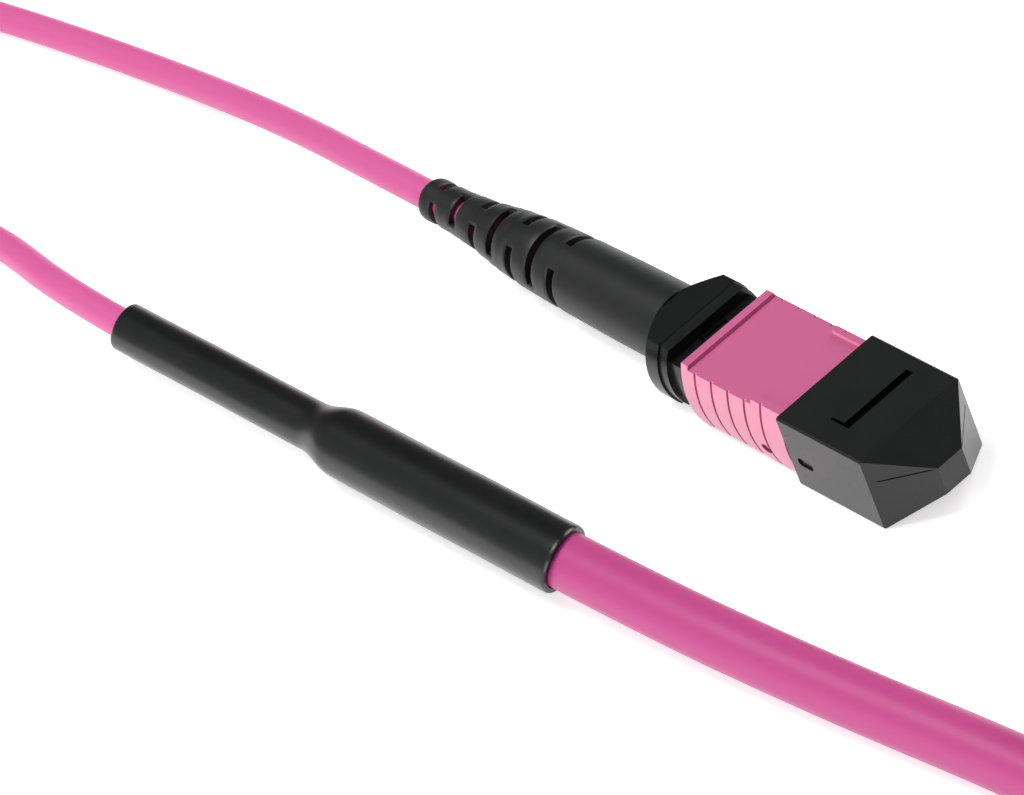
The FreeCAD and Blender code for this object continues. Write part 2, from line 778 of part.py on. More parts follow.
def cord_path(points):
    """Straight runs joined by tangent arcs as large as the two runs beside each point allow."""
    edges = []
    radii = []
    here = points[0]
    for before, point, after in zip(points, points[1:], points[2:]):
        back = before - point
        ahead = after - point
        reach = 0.45 * min(back.Length, ahead.Length)
        back.normalize()
        ahead.normalize()
        half_turn = (math.pi - back.getAngle(ahead)) / 2
        radius = reach / math.tan(half_turn)
        start = point + back * reach
        stop = point + ahead * reach
        inwards = (back + ahead).normalize()
        top = point + inwards * (radius / math.cos(half_turn) - radius)
        edges.append(Part.LineSegment(here, start).toShape())
        edges.append(Part.Arc(start, top, stop).toShape())
        radii.append(radius)
        here = stop
    edges.append(Part.LineSegment(here, points[-1]).toShape())
    return Part.Wire(edges), radii


def cord_stations(path):
    """Points along the path with their directions: both ends of each run, and each arc in steps."""
    stations = []
    for edge in path.Edges:
        first, last = edge.FirstParameter, edge.LastParameter
        turn = edge.tangentAt(first).getAngle(edge.tangentAt(last))
        steps = max(1, math.ceil(turn / cord_step))
        for i in range(0 if not stations else 1, steps + 1):
            at = first + (last - first) * i / steps
            stations.append((edge.valueAt(at), edge.tangentAt(at)))
    return stations


def cord(name, points, radius):
    """A many-sided cord along a route; prints its length, its arcs and how true its volume is."""
    path, radii = cord_path(points)
    sections = []
    for point, along in cord_stations(path):
        out = along.cross(Z_AXIS).normalize()
        sections.append(many_sided(point, radius, out, out.cross(along), cord_sides))
    solid = threaded(sections)
    ideal = Part.Face(sections[0]).Area * path.Length
    print(f"{name}: length {path.Length:.1f}, volume/ideal {solid.Volume / ideal:.4f}, "
          f"radii {[round(r, 1) for r in radii]}")
    return solid


def along_transition(shape):
    """Moves what is turned about the X axis onto the transition sleeve's axis."""
    shape.rotate(ORIGIN, Z_AXIS, sleeve_angle)
    shape.translate(sleeve_left)
    return shape


def transition_sleeve():
    """Heat-shrunk tube: thin over the leg, flared, and thick over the trunk."""
    flare_end = transition_thin + transition_flare
    outside = turned([
        (0, transition_thin_r), (transition_thin, transition_thin_r),
        (flare_end, transition_thick_r), (transition_length, transition_thick_r),
    ])
    inside = turned([
        (-over, cable_r + transition_gap), (flare_end, cable_r + transition_gap),
        (flare_end, trunk_r + transition_gap), (transition_length + over, trunk_r + transition_gap),
    ])
    return along_transition(outside.cut(inside))


def transition_former():
    """Stiff former inside the sleeve, between the leg's end and the trunk's end."""
    stop = former_start + former_length
    step = transition_thin + transition_flare + transition_gap
    return along_transition(turned([
        (former_start, cable_r), (step, cable_r), (step, trunk_r), (stop, trunk_r),
    ]))


# ---- trunk coil

coil_width = turns_wide * 2 * trunk_r
coil_height = turns_high * 2 * trunk_r
coil_top = tie_thickness + coil_height


def round_coil(angle, radius, height):
    """A point over the coil, by its angle from +X and its distance from the middle."""
    turn = math.radians(angle)
    return V(coil_centre_x + radius * math.cos(turn), coil_centre_y + radius * math.sin(turn), height)


def coil_outline(radius):
    """A closed outline round the coil in short flats that just clear the radius."""
    corner_r = radius / math.cos(math.pi / coil_flats)
    corners = [round_coil(360.0 * i / coil_flats, corner_r, tie_thickness) for i in range(coil_flats)]
    return Part.makePolygon(corners + [corners[0]])


def trunk_coil():
    """Outer shape of the wound turns: a plain ring."""
    outer = Part.Face(coil_outline(coil_mid_r + coil_width / 2)).extrude(V(0, 0, coil_height))
    inner = Part.Face(coil_outline(coil_mid_r - coil_width / 2)).extrude(V(0, 0, coil_height))
    return outer.cut(inner)


def coil_tie(angle):
    """Strap round the bundle, one turn under it and over it."""
    y = tie_width / 2
    half = coil_width / 2 + tie_gap
    outer = box(coil_mid_r - half - tie_thickness, coil_mid_r + half + tie_thickness, -y, y, 0,
                coil_top + tie_gap + tie_thickness)
    inner = box(coil_mid_r - half, coil_mid_r + half, -y - over, y + over, tie_thickness,
                coil_top + tie_gap)
    outer = outer.makeChamfer(1.2, long_edges(outer, Y_AXIS))
    tie = outer.cut(inner)
    tie.rotate(ORIGIN, Z_AXIS, angle)
    tie.translate(V(coil_centre_x, coil_centre_y, 0))
    return tie


top_turn = coil_top - trunk_r
on_coil = coil_top + trunk_r + end_cap_wall + seat_gap
tail_route = [
    round_coil(-78, 32.5, top_turn),
    round_coil(-52, 32.5, top_turn + 3.4),
    round_coil(-27, 32.5, on_coil),
    round_coil(-3, 33, on_coil + end_cap_lift),
]


def trunk_end_cap():
    """Closed heat-shrink cap that seals the trunk's end, its tip's edge taken off."""
    direction = (tail_route[-1] - tail_route[-2]).normalize()
    out = direction.cross(Z_AXIS).normalize()
    start = tail_route[-1] - direction * end_cap_grip

    def prism(x0, x1, radius):
        outline = many_sided(start + direction * x0, radius, out, out.cross(direction), cord_sides)
        return Part.Face(outline).extrude(direction * (x1 - x0))

    cap = prism(0, end_cap_length, trunk_r + end_cap_wall)
    tip = start + direction * end_cap_length
    rim = [e for e in cap.Edges if all(abs((v.Point - tip).dot(direction)) < 1e-6 for v in e.Vertexes)]
    cap = cap.makeChamfer(end_cap_tip, rim)
    return cap.cut(prism(-over, end_cap_grip, trunk_r + seat_gap))


nodes = {
    "dust_cap": placed(dust_cap()),
    "coupling_sleeve": placed(coupling_sleeve()),
    "coupling_spring_near": placed(coupling_spring(-1)),
    "coupling_spring_far": placed(coupling_spring(1)),
    "inner_housing": placed(inner_housing()),
    "ferrule": placed(ferrule()),
    "guide_pin_near": placed(guide_pin(-1)),
    "guide_pin_far": placed(guide_pin(1)),
    "pin_clamp": placed(pin_clamp()),
    "ferrule_boot": placed(ferrule_boot()),
    "fibre_ribbon": placed(fibre_ribbon()),
    "main_spring": placed(main_spring()),
    "rear_housing": placed(rear_housing()),
    "aramid_yarn": placed(aramid_yarn()),
    "crimp_ring": placed(crimp_ring()),
    "cable_jacket_end": placed(cable_jacket_end()),
    "strain_relief_boot": placed(strain_relief_boot()),
    "leg_cable": cord("leg_cable", leg_route, cable_r),
    "transition_sleeve": transition_sleeve(),
    "transition_former": transition_former(),
    "trunk_cable": cord("trunk_cable", trunk_route, trunk_r),
    "trunk_coil": trunk_coil(),
    "trunk_tail": cord("trunk_tail", tail_route, trunk_r),
    "trunk_end_cap": trunk_end_cap(),
    "coil_tie_front": coil_tie(tie_angles[0]),
    "coil_tie_back": coil_tie(tie_angles[1]),
}

os.makedirs("parts", exist_ok=True)
for name, shape in nodes.items():
    shape.exportStep(f"parts/{name}.step")
    solids = len(shape.Solids)
    print(f"{name}: solids {solids}, valid {shape.isValid()}, volume {shape.Volume:.2f}")
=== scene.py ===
"""Dresses a multi-fibre push-on connector, its fan-out leg and the trunk cable it belongs to."""

import math

import bpy
import numpy as np
from bpy.props import (FloatProperty, FloatVectorProperty, IntProperty, PointerProperty,
                       StringProperty)
from mathutils import Matrix, Vector


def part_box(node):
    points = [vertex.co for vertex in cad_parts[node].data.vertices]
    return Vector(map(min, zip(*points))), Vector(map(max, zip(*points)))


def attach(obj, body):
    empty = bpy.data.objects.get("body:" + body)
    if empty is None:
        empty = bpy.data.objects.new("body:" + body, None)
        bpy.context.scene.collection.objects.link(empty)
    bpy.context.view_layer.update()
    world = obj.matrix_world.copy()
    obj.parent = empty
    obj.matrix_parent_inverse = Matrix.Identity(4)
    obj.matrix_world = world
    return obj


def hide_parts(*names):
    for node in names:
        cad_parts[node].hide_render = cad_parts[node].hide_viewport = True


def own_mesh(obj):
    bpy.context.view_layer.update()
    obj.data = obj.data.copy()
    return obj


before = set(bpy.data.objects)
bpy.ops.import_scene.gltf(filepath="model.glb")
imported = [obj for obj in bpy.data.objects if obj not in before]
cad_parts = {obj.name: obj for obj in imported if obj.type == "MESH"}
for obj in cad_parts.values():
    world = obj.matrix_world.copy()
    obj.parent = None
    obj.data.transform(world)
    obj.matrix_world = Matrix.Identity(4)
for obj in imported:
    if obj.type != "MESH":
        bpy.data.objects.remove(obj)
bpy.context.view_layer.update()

bl_info = {
    "name": "Fan-out leg with push-on connector",
    "version": (1, 0, 0),
    "blender": (4, 5, 0),
    "location": "View3D > Sidebar > Connector",
    "description": "Builds the looks of a capped fibre connector, its leg and the coiled trunk",
    "category": "Object",
}

MM = 0.001
BOOT_LOW, BOOT_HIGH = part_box("strain_relief_boot")
AXIS_HEIGHT = (BOOT_LOW.z + BOOT_HIGH.z) / 2

# Where the cords run, point by point, on the surface beside the connector, in millimetres.
SLEEVE_LEFT = (-52.74, -28.02, 3.53)
SLEEVE_TURN = math.radians(1.4)
SLEEVE_LENGTH = 65.5
FORMER_START = 8.0     # where the stiff core inside the sleeve begins, and the leg stops
FORMER_END = 54.0      # where it ends, and the trunk starts
TRUNK_STRAIGHT = 10.5  # the trunk leaves the sleeve in line with it


def on_sleeve(distance):
    """A point on the transition sleeve's axis, so far from its thin end."""
    x, y, z = SLEEVE_LEFT
    return (x + distance * math.cos(SLEEVE_TURN), y + distance * math.sin(SLEEVE_TURN), z)


LEG_ROUTE = [
    (-28.76, 0, 4.125), (-45.5, 0, 4.125), (-61, 0.8, 2.75), (-77, 0.45, 1.5), (-92, -1.2, 1.5),
    (-106.5, -3.2, 1.5), (-119.2, -5.7, 1.5), (-127, -16.1, 1.5), (-125.7, -29, 1.5),
    (-116.1, -37.7, 1.5), (-101.5, -37.7, 1.5), (-88.9, -27, 1.5), (-78, -25.5, 1.5),
    on_sleeve(-FORMER_START), on_sleeve(FORMER_START),
]
TRUNK_LEAD = [
    on_sleeve(FORMER_END), on_sleeve(SLEEVE_LENGTH + TRUNK_STRAIGHT), (45.3, -24.1, 2.9),
    (66.3, -21.7, 2.75), (79.3, -21.1, 3.1), (92.3, -22.7, 3.65),
]
COIL_CENTRE = (96.05, 7.82)
COIL_START = -97.0     # degrees from +X at which the trunk joins the coil
COIL_MIDDLE = 28.0     # radius at the middle of the turns
COIL_BOTTOM = 3.65     # height of the lowest turn's axis
STEP = 30.0            # degrees from one control point of the coil to the next


def round_coil(angle, radius, height):
    """A point over the coil, by its angle from +X and its distance from the coil's middle."""
    turn = math.radians(angle)
    return (COIL_CENTRE[0] + radius * math.cos(turn), COIL_CENTRE[1] + radius * math.sin(turn),
            height)


TRUNK_TAIL = [
    round_coil(-101, 26, 16.9), round_coil(-76, 28, 19.6), round_coil(-51, 31, 20.6),
    round_coil(-27, 32.5, 21.0), round_coil(-3, 33, 21.25),
]


def coil_points(pitch):
    """Control points of the wound turns: radius and height are steps of the angle travelled.

    Turn by turn the cable goes from the outer place to the inner one, up a layer, out, up again
    and in, and each step comes 60 degrees before the last one's place.  A spline of the second
    degree runs inside its points, so each radius is divided by that share.
    """
    travelled = np.arange(STEP, 2131, STEP)
    out = np.interp(travelled, [300, 360, 900, 960, 1500, 1560], [1, 0, 0, 1, 1, 0])
    layer = np.interp(travelled, [600, 660, 1200, 1260], [0, 1, 1, 2])
    inside = 0.75 + 0.25 * math.cos(math.radians(STEP))
    radius = (COIL_MIDDLE + (out - 0.5) * pitch) / inside
    height = COIL_BOTTOM + layer * pitch
    return [round_coil(COIL_START + a, r, h) for a, r, h in zip(travelled, radius, height)]


# ---- meshes


def mesh_piece(name, vertices, faces, body, smooth_degrees=35.0):
    """A mesh from whole arrays, its normals outwards, riding on a body."""
    mesh = bpy.data.meshes.new(name)
    mesh.from_pydata(np.asarray(vertices).tolist(), [], np.asarray(faces).tolist())
    mesh.update()
    piece = bpy.data.objects.new(name, mesh)
    bpy.context.scene.collection.objects.link(piece)
    mesh.polygons.foreach_set("use_smooth", np.ones(len(mesh.polygons), bool))
    if smooth_degrees:
        split = piece.modifiers.new("crisp edges", "EDGE_SPLIT")
        split.split_angle = math.radians(smooth_degrees)
    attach(piece, body)
    return piece


def grid_faces(rows, columns, wrap_rows=False, wrap_columns=True):
    """Quads between neighbouring lines of a grid of rows by columns, which may close either way."""
    i = np.arange(rows if wrap_rows else rows - 1)[:, None]
    j = np.arange(columns if wrap_columns else columns - 1)[None, :]
    ni, nj = (i + 1) % rows, (j + 1) % columns
    quads = [i * columns + j, ni * columns + j, ni * columns + nj, i * columns + nj]
    return np.stack(np.broadcast_arrays(*quads), -1).reshape(-1, 4)


def turned_grid(along, radius, sides, ripple=None):
    """Points of a surface turned about +X: x is along, and y and z are the radius times the sine
    and cosine of the angle.  ripple adds to the radius and may depend on both."""
    angle = np.linspace(0, 2 * math.pi, sides, endpoint=False)
    x = np.asarray(along)[:, None] + 0 * angle
    r = np.asarray(radius)[:, None] + 0 * angle
    if ripple is not None:
        r = r + ripple(x, angle[None, :] + 0 * x)
    return np.stack([x, r * np.sin(angle), r * np.cos(angle)], -1).reshape(-1, 3)


def placed_along(points, start, direction):
    """Points laid along +X, turned so that +X becomes the direction and moved to the start."""
    along = Vector(direction).normalized()
    side = Vector((0, 0, 1)).cross(along).normalized()
    frame_axes = np.array([along, side, along.cross(side)])
    return points @ frame_axes + np.array(start)


# ---- finishes


def linear(code):
    """An sRGB hex colour as linear red, green, blue and alpha."""
    parts = [int(code[i:i + 2], 16) / 255 for i in (1, 3, 5)]
    parts = [c / 12.92 if c <= 0.04045 else ((c + 0.055) / 1.055) ** 2.4 for c in parts]
    return (*parts, 1.0)


def add(tree, kind, values=None, links=None, **settings):
    """Adds a node with its settings, its socket values and its links from (node, socket)."""
    made = tree.nodes.new(kind)
    for key, value in settings.items():
        setattr(made, key, value)
    for key, value in (values or {}).items():
        made.inputs[key].default_value = value
    for key, (source, socket) in (links or {}).items():
        tree.links.new(source.outputs[socket], made.inputs[key])
    return made


def finish(name, colour, shade, patch, roughness, spread, grain, depth, ior=1.5, **shader):
    """A moulded or drawn surface: the colour drifts to its shade in soft patches, the gloss drifts
    with them, and a fine grain lifts the surface.  patch, grain and depth are millimetres."""
    made = bpy.data.materials.new(name)
    made.use_nodes = True
    tree = made.node_tree
    tree.nodes.clear()
    place = add(tree, "ShaderNodeTexCoord")
    patches = add(tree, "ShaderNodeTexNoise", {"Scale": 1 / (patch * MM), "Detail": 3.0},
                  {"Vector": (place, "Object")})
    tint = add(tree, "ShaderNodeMix", {"A": linear(colour), "B": linear(shade)},
               {"Factor": (patches, "Fac")}, data_type="RGBA")
    gloss = add(tree, "ShaderNodeMapRange",
                {"To Min": roughness - spread, "To Max": roughness + spread},
                {"Value": (patches, "Fac")})
    fine = add(tree, "ShaderNodeTexNoise", {"Scale": 1 / (grain * MM), "Detail": 2.0},
               {"Vector": (place, "Object")})
    lift = add(tree, "ShaderNodeBump", {"Strength": 1.0, "Distance": depth * MM},
               {"Height": (fine, "Fac")})
    surface = add(tree, "ShaderNodeBsdfPrincipled", {"IOR": ior, **shader},
                  {"Base Color": (tint, "Result"), "Roughness": (gloss, "Result"),
                   "Normal": (lift, "Normal")})
    add(tree, "ShaderNodeOutputMaterial", {}, {"Surface": (surface, "BSDF")})
    return made


def repaint(made, factor, colour):
    """Mixes another colour into a finish by a factor socket."""
    tree = made.node_tree
    surface = next(n for n in tree.nodes if n.type == "BSDF_PRINCIPLED")
    tint = surface.inputs["Base Color"].links[0].from_node
    mixed = add(tree, "ShaderNodeMix", {"B": linear(colour)},
                {"Factor": factor, "A": (tint, "Result")}, data_type="RGBA")
    tree.links.new(mixed.outputs["Result"], surface.inputs["Base Color"])
    return surface


def paint_side_sheen(made, colour):
    """Lays a colour on the faces that look sideways, fading in over their curve: painted sheen, in
    place of the light that these faces catch.
    """
    tree = made.node_tree
    place = next(n for n in tree.nodes if n.type == "TEX_COORD")
    split = add(tree, "ShaderNodeSeparateXYZ", {}, {"Vector": (place, "Normal")})
    share = add(tree, "ShaderNodeMath", {}, {0: (split, "Y")}, operation="ABSOLUTE")
    factor = add(tree, "ShaderNodeMapRange", {"From Min": 0.35, "From Max": 0.8},
                 {"Value": (share, "Value")})
    repaint(made, (factor, "Result"), colour)
    return made


def paint_recess_shade(made, low, high, colour):
    """Paints shade into what lies inside a box, such as a recess: a dark colour and almost no
    reflection there.
    """
    tree = made.node_tree
    place = next(n for n in tree.nodes if n.type == "TEX_COORD")
    split = add(tree, "ShaderNodeSeparateXYZ", {}, {"Vector": (place, "Object")})
    factor = None
    for axis, a, b in zip("XYZ", low, high):
        inside = (add(tree, "ShaderNodeMath", {1: (a + b) / 2, 2: (b - a) / 2}, {0: (split, axis)},
                      operation="COMPARE"), "Value")
        factor = inside if factor is None else (
            add(tree, "ShaderNodeMath", {}, {0: factor, 1: inside}, operation="MULTIPLY"), "Value")
    surface = repaint(made, factor, colour)
    gloss = add(tree, "ShaderNodeMapRange", {"To Min": 0.5, "To Max": 0.05}, {"Value": factor})
    tree.links.new(gloss.outputs["Result"], surface.inputs["Specular IOR Level"])
    return made


def striped(made, spacing, direction, colour, depth):
    """Lays fine ribs, threads or drawn lines over a finish: a wave along one axis darkens the
    colour towards another and lifts the surface.  spacing and depth are millimetres."""
    tree = made.node_tree
    surface = next(n for n in tree.nodes if n.type == "BSDF_PRINCIPLED")
    place = next(n for n in tree.nodes if n.type == "TEX_COORD")
    tint = surface.inputs["Base Color"].links[0].from_node
    lift = surface.inputs["Normal"].links[0].from_node
    lines = add(tree, "ShaderNodeTexWave",
                {"Scale": math.pi / (10 * spacing * MM), "Distortion": 0.6, "Detail": 1.0},
                {"Vector": (place, "Object")}, bands_direction=direction)
    dark = add(tree, "ShaderNodeMix", {"B": linear(colour)},
               {"Factor": (lines, "Fac"), "A": (tint, "Result")}, data_type="RGBA")
    ribs = add(tree, "ShaderNodeBump", {"Strength": 1.0, "Distance": depth * MM},
               {"Height": (lines, "Fac"), "Normal": (lift, "Normal")})
    tree.links.new(dark.outputs["Result"], surface.inputs["Base Color"])
    tree.links.new(ribs.outputs["Normal"], surface.inputs["Normal"])
    return made


def outer_finishes(settings):
    """The finishes that show: cables, plug, boot and shrunk sleeve."""
    made = {}
    # Halogen-free cable jacket, extruded: even satin colour, faintly wavy, no grain to speak of.
    made["jacket"] = finish("halogen-free cable jacket, extruded", settings.trunk, "#C6468B", 9.0,
                            0.42, 0.04, 0.6, 0.004)
    made["leg"] = finish("halogen-free leg jacket, extruded", settings.leg, "#DC5E9E", 9.0,
                         0.42, 0.04, 0.6, 0.004)
    # Moulded PBT in the violet-pink of this fibre class: fine spark-eroded texture, soft sheen.
    # The bowed sides are painted paler than the top: a painted sheen, for the light that they
    # catch.
    made["coupling"] = paint_side_sheen(finish("PBT, moulded, violet-pink", settings.coupling, "#C86490",
                                         5.0, 0.4, 0.04, 0.12, 0.004), settings.sides)
    # Moulded PBT, black: smooth mould with a slight sheen.
    made["housing"] = finish("PBT, moulded, black", "#0E1010", "#151717", 4.0, 0.28, 0.05, 0.15,
                             0.003)
    # Low-density polyethylene cap: soft, waxy, a little greyer than the housing.
    # The grip slot gets painted shade, a near-black colour and almost no reflection.  Its sizes are
    # taken from the faces of the cap's box.
    low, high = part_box("dust_cap")
    length, side, bottom, top = 11.1 * MM, 0.3 * MM, 0.6 * MM, 0.03 * MM
    made["cap"] = paint_recess_shade(finish("polyethylene, moulded, black", settings.cap, "#1C1F1E", 5.0,
                                     0.27, 0.04, 0.2, 0.003),
                              (low.x - MM, low.y + side, high.z - bottom),
                              (low.x + length, high.y - side, high.z - top), "#040505")
    # Thermoplastic elastomer boot: matt, with faint flow marks from the gate.
    made["boot"] = finish("elastomer, moulded, black", "#111312", "#1A1C1B", 3.5, 0.46, 0.06, 0.1,
                          0.005)
    # Heat-shrunk polyolefin: recovered tube, satin, with slow unevenness from the heat.
    made["shrink"] = finish("polyolefin tube, heat-shrunk", "#0A0B0B", "#111312", 7.0, 0.3, 0.05,
                            0.9, 0.012)
    return made


def inner_finishes():
    """The finishes of what lies inside the plug and under the sleeve, and of the straps."""
    made = {}
    # Glass-filled PPS, moulded and ground: dark, with pale fibre ends.
    made["ferrule"] = finish("glass-filled PPS, ground", "#2A2C2D", "#3A3C3D", 0.3, 0.4, 0.05, 0.05,
                             0.003)
    # Rubber round the fibres behind the ferrule: matt.
    made["seal"] = finish("rubber, moulded", "#1C1C1C", "#242424", 2.0, 0.55, 0.05, 0.2, 0.004)
    # Nylon core inside the shrunk sleeve: turned, undyed.
    made["former"] = finish("nylon, turned, natural", "#B9B7AE", "#A9A79E", 3.0, 0.45, 0.05, 0.3,
                            0.004)
    # Stainless steel, drawn or ground: default IOR.
    made["steel"] = finish("stainless steel, ground", "#B9BBBD", "#A6A8AA", 0.8, 0.25, 0.05, 0.06,
                           0.001, Metallic=1.0)
    # Nickel-plated brass ring, pressed over the yarn.
    made["crimp"] = finish("nickel-plated brass, crimped", "#B8B2A4", "#A39D90", 1.5, 0.32, 0.06,
                           0.2, 0.004, Metallic=1.0)
    # Aramid yarn: straw-coloured parallel strands, 0.1 mm apart.
    made["yarn"] = striped(finish("aramid yarn, straw", "#D8B04A", "#C39A38", 1.0, 0.6, 0.05, 0.1,
                                  0.01), 0.1, "Y", "#A98328", 0.03)
    # Fibre ribbon: acrylate over fibres 0.25 mm apart.
    made["ribbon"] = striped(finish("fibre ribbon, acrylate", "#BFD3DC", "#A9C4D2", 2.0, 0.2, 0.04,
                                    0.3, 0.002), 0.25, "Y", "#6E93B5", 0.01)
    # Woven nylon hook-and-loop strap, threads 0.5 mm apart.
    made["strap"] = striped(finish("woven nylon strap, black", "#1D1E20", "#141516", 1.0, 0.75,
                                   0.05, 0.25, 0.05), 0.5, "Z", "#0E0F10", 0.12)
    return made


FINISHES = {}


def dress(piece, name):
    """Puts a finish on a piece."""
    piece.data.materials.clear()
    piece.data.materials.append(FINISHES[name])


# ---- cords


CORD_STEPS = 12      # straight pieces from one control point to the next
CORD_ROUNDNESS = 8   # steps round a quarter of the section


def cord_curve(name, points, diameter, body="plug"):
    """A round cord: a smooth spline of the second degree with the route's points as its controls.

    Each point's radius is the cord's own and the bevel is 1 m, so the curve's bounds stay true.
    """
    curve = bpy.data.curves.new(name, "CURVE")
    curve.dimensions = "3D"
    spline = curve.splines.new("NURBS")
    spline.points.add(len(points) - 1)
    spline.points.foreach_set("co", np.c_[np.array(points) * MM, np.ones(len(points))].ravel())
    spline.order_u = 3
    spline.use_endpoint_u = True
    spline.resolution_u = CORD_STEPS
    spline.points.foreach_set("radius", np.full(len(points), diameter / 2))
    curve.bevel_depth = 1.0
    curve.bevel_resolution = CORD_ROUNDNESS
    curve.use_fill_caps = True
    piece = bpy.data.objects.new(name, curve)
    bpy.context.scene.collection.objects.link(piece)
    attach(piece, body)
    return piece


class FINISH_PG_settings(bpy.types.PropertyGroup):
    """Colours that tell one make-up of this lead from another."""

    trunk: StringProperty(name="Trunk jacket", description="Colour of the trunk", default="#C84A8F")
    leg: StringProperty(name="Leg jacket", description="Colour of the thin leg", default="#E065A4")
    coupling: StringProperty(name="Coupling", description="Colour of the pull-back sleeve",
                             default="#CC6593")
    # The paler colour painted on the sleeve's bowed sides as painted sheen
    sides: StringProperty(name="Sleeve sides", description="Colour of its matt sides",
                          default="#FDA6C2")
    cap: StringProperty(name="Cap", description="Colour of the dust cap", default="#171A19")


class CORD_PG_settings(bpy.types.PropertyGroup):
    """Sizes of the two cables."""

    leg_diameter: FloatProperty(name="Leg", description="Diameter of the fan-out leg",
                                default=0.003, subtype="DISTANCE", unit="LENGTH")
    leg_length: FloatProperty(name="Leg length", description="From the crimp to the transition",
                              default=0.2045, subtype="DISTANCE", unit="LENGTH")
    trunk_diameter: FloatProperty(name="Trunk", description="Diameter of the trunk cable",
                                  default=0.0055, subtype="DISTANCE", unit="LENGTH")
    trunk_length: FloatProperty(name="Trunk length", default=1.18, subtype="DISTANCE",
                                unit="LENGTH", description="From the transition to the end cap")


class SLEEVE_PG_settings(bpy.types.PropertyGroup):
    """The heat-shrunk sleeve between leg and trunk."""

    thin_radius: FloatProperty(name="Thin radius", description="Over the leg", default=0.00241,
                               subtype="DISTANCE", unit="LENGTH")
    thick_radius: FloatProperty(name="Thick radius", description="Over the trunk", default=0.00334,
                                subtype="DISTANCE", unit="LENGTH")
    flare_start: FloatProperty(name="Flare start", description="Distance from the thin end",
                               default=0.0297, subtype="DISTANCE", unit="LENGTH")
    flare_length: FloatProperty(name="Flare length", description="Length of the flare",
                                default=0.0048, subtype="DISTANCE", unit="LENGTH")
    slant: FloatProperty(name="Slant", default=0.42,
                         description="Lean of the two cut ends, as a share of the radius")
    thin_trim: FloatProperty(name="Thin trim", description="Cut off the thin end", default=0.0007,
                             subtype="DISTANCE", unit="LENGTH")
    thick_trim: FloatProperty(name="Thick trim", description="Cut off the thick end",
                              default=0.0003, subtype="DISTANCE", unit="LENGTH")


class BOOT_PG_settings(bpy.types.PropertyGroup):
    """The slotted strain relief boot."""

    slots: IntProperty(name="Slots", description="Rings of slots", default=7)
    slot_width: FloatProperty(name="Slot width", description="Along the boot", default=0.00094,
                              subtype="DISTANCE", unit="LENGTH")
    slot_pitch: FloatProperty(name="Slot pitch", description="From one ring to the next",
                              default=0.00325, subtype="DISTANCE", unit="LENGTH")
    first_slot: FloatProperty(name="First slot", description="From the tip", default=0.0021,
                              subtype="DISTANCE", unit="LENGTH")


class STAGE_PG_settings(bpy.types.PropertyGroup):
    """Floor, light and camera."""

    floor_colour: FloatVectorProperty(name="Floor", description="Floor colour, linear",
                                      default=(0.86, 0.86, 0.86), size=3, subtype="COLOR")
    glow: FloatProperty(name="Floor glow", default=0.58,
                        description="Light of the floor's own that the camera sees")
    mirror_glow: FloatProperty(name="Mirrored glow", description="The same, as shiny parts see it",
                               default=0.6)
    lamp_power: FloatProperty(name="Overhead lamp", default=2.1, unit="POWER",
                              description="Power of the high soft box")
    side_power: FloatProperty(name="Side lamp", default=1.65, unit="POWER",
                              description="Power of the low soft box on the near side")
    back_power: FloatProperty(name="Back lamp", default=2.6, unit="POWER",
                              description="Power of the low soft box on the far side")
    lens: FloatProperty(name="Lens", description="Focal length in millimetres", default=239.06,
                        subtype="DISTANCE_CAMERA")


# ---- stage


CAMERA_PLACE = (0.42637, -0.22904, 0.392475)
CAMERA_RIGHT = (0.6261, 0.718, -0.3042)   # the way its right side faces
CAMERA_BACK = (0.6997, -0.345, 0.6256)    # the way its back faces
CAMERA_RANGE = (0.05, 10.0)               # nearest and farthest distance it sees
FLOOR_HALF = 4.0
# Each lamp's name, place, size and the setting of its power.  All face the frame's origin.
LAMPS = (("overhead", (-0.14, -0.12, 0.6), 0.3, "lamp_power"),
         ("back", (-0.05, 0.58, 0.28), 0.4, "back_power"),
         ("side", (0.05, -0.6, 0.13), 0.4, "side_power"))


def set_camera(scene, settings):
    """The camera, its axes made square from the two ways that it faces."""
    data = bpy.data.cameras.new("camera")
    data.sensor_width = 36.0
    data.lens = settings.lens
    data.clip_start, data.clip_end = CAMERA_RANGE
    camera = bpy.data.objects.new("camera", data)
    right, back = Vector(CAMERA_RIGHT).normalized(), Vector(CAMERA_BACK).normalized()
    up = back.cross(right).normalized()
    right = up.cross(back)
    turn = Matrix((right, up, back)).transposed().to_4x4()
    camera.matrix_world = Matrix.Translation(CAMERA_PLACE) @ turn
    scene.collection.objects.link(camera)
    scene.camera = camera


